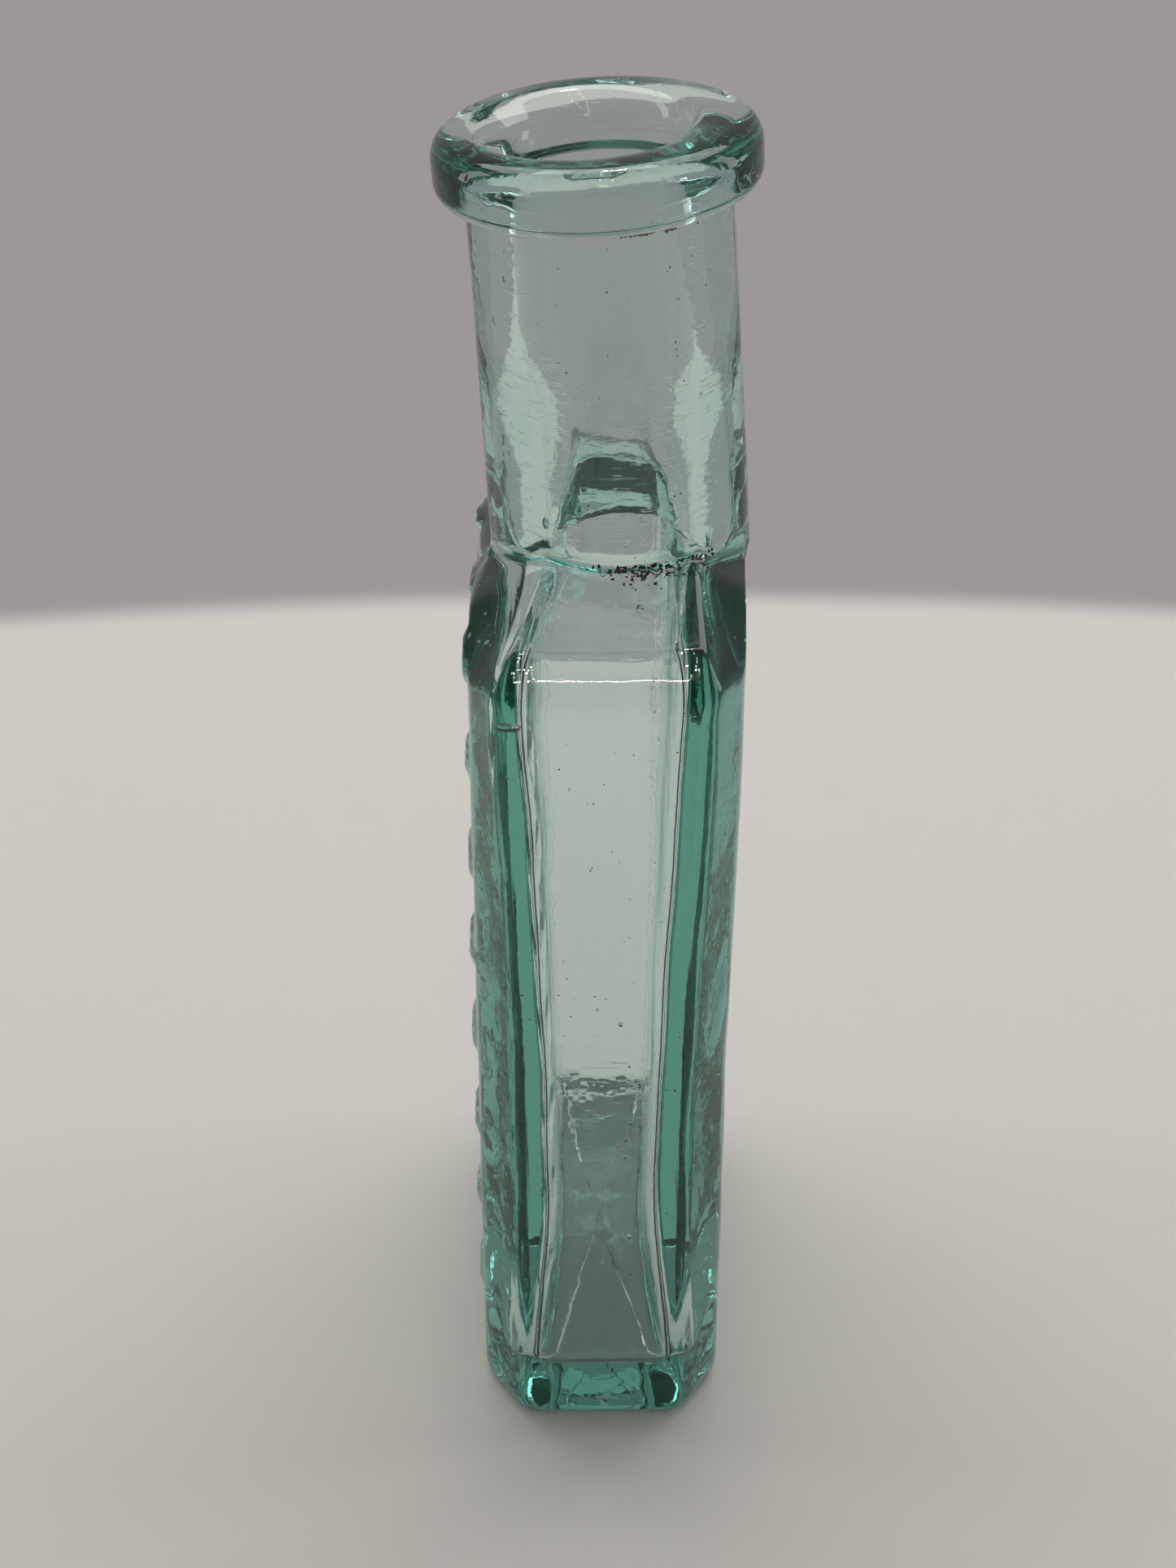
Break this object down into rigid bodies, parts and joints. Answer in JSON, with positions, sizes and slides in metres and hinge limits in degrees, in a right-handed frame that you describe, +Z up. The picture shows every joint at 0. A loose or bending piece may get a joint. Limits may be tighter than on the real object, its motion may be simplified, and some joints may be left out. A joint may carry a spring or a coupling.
{
  "type": "antique glass bottle",
  "caption": "Small antique aqua glass medicine bottle: flat panelled body with cut corners, thick base, sloping shoulder, leaning round neck and thick flared lip.",
  "frame": {"origin": "middle of the flat face that the bottle stands on", "axes": "+Z up the bottle, Y along the broad faces, X across the depth; the ornamented broad face looks along -X and the neck leans that way"},
  "size_m": [0.0252, 0.044, 0.1132],
  "materials": {
    "aqua_glass": "clear pale aqua, fire-polished and slightly wavy, with seeds and light scratches",
    "thick_aqua_glass": "clear aqua, deeper in colour where the glass is thick",
    "old_soil": "dry dull specks of old soil and rust stain"
  },
  "bodies": {
    "root": {"base": "thick_aqua_glass", "body": "aqua_glass", "shoulder": "aqua_glass", "neck": "aqua_glass", "lip": "thick_aqua_glass", "face_ornament": "aqua_glass"}
  },
  "joints": []
}
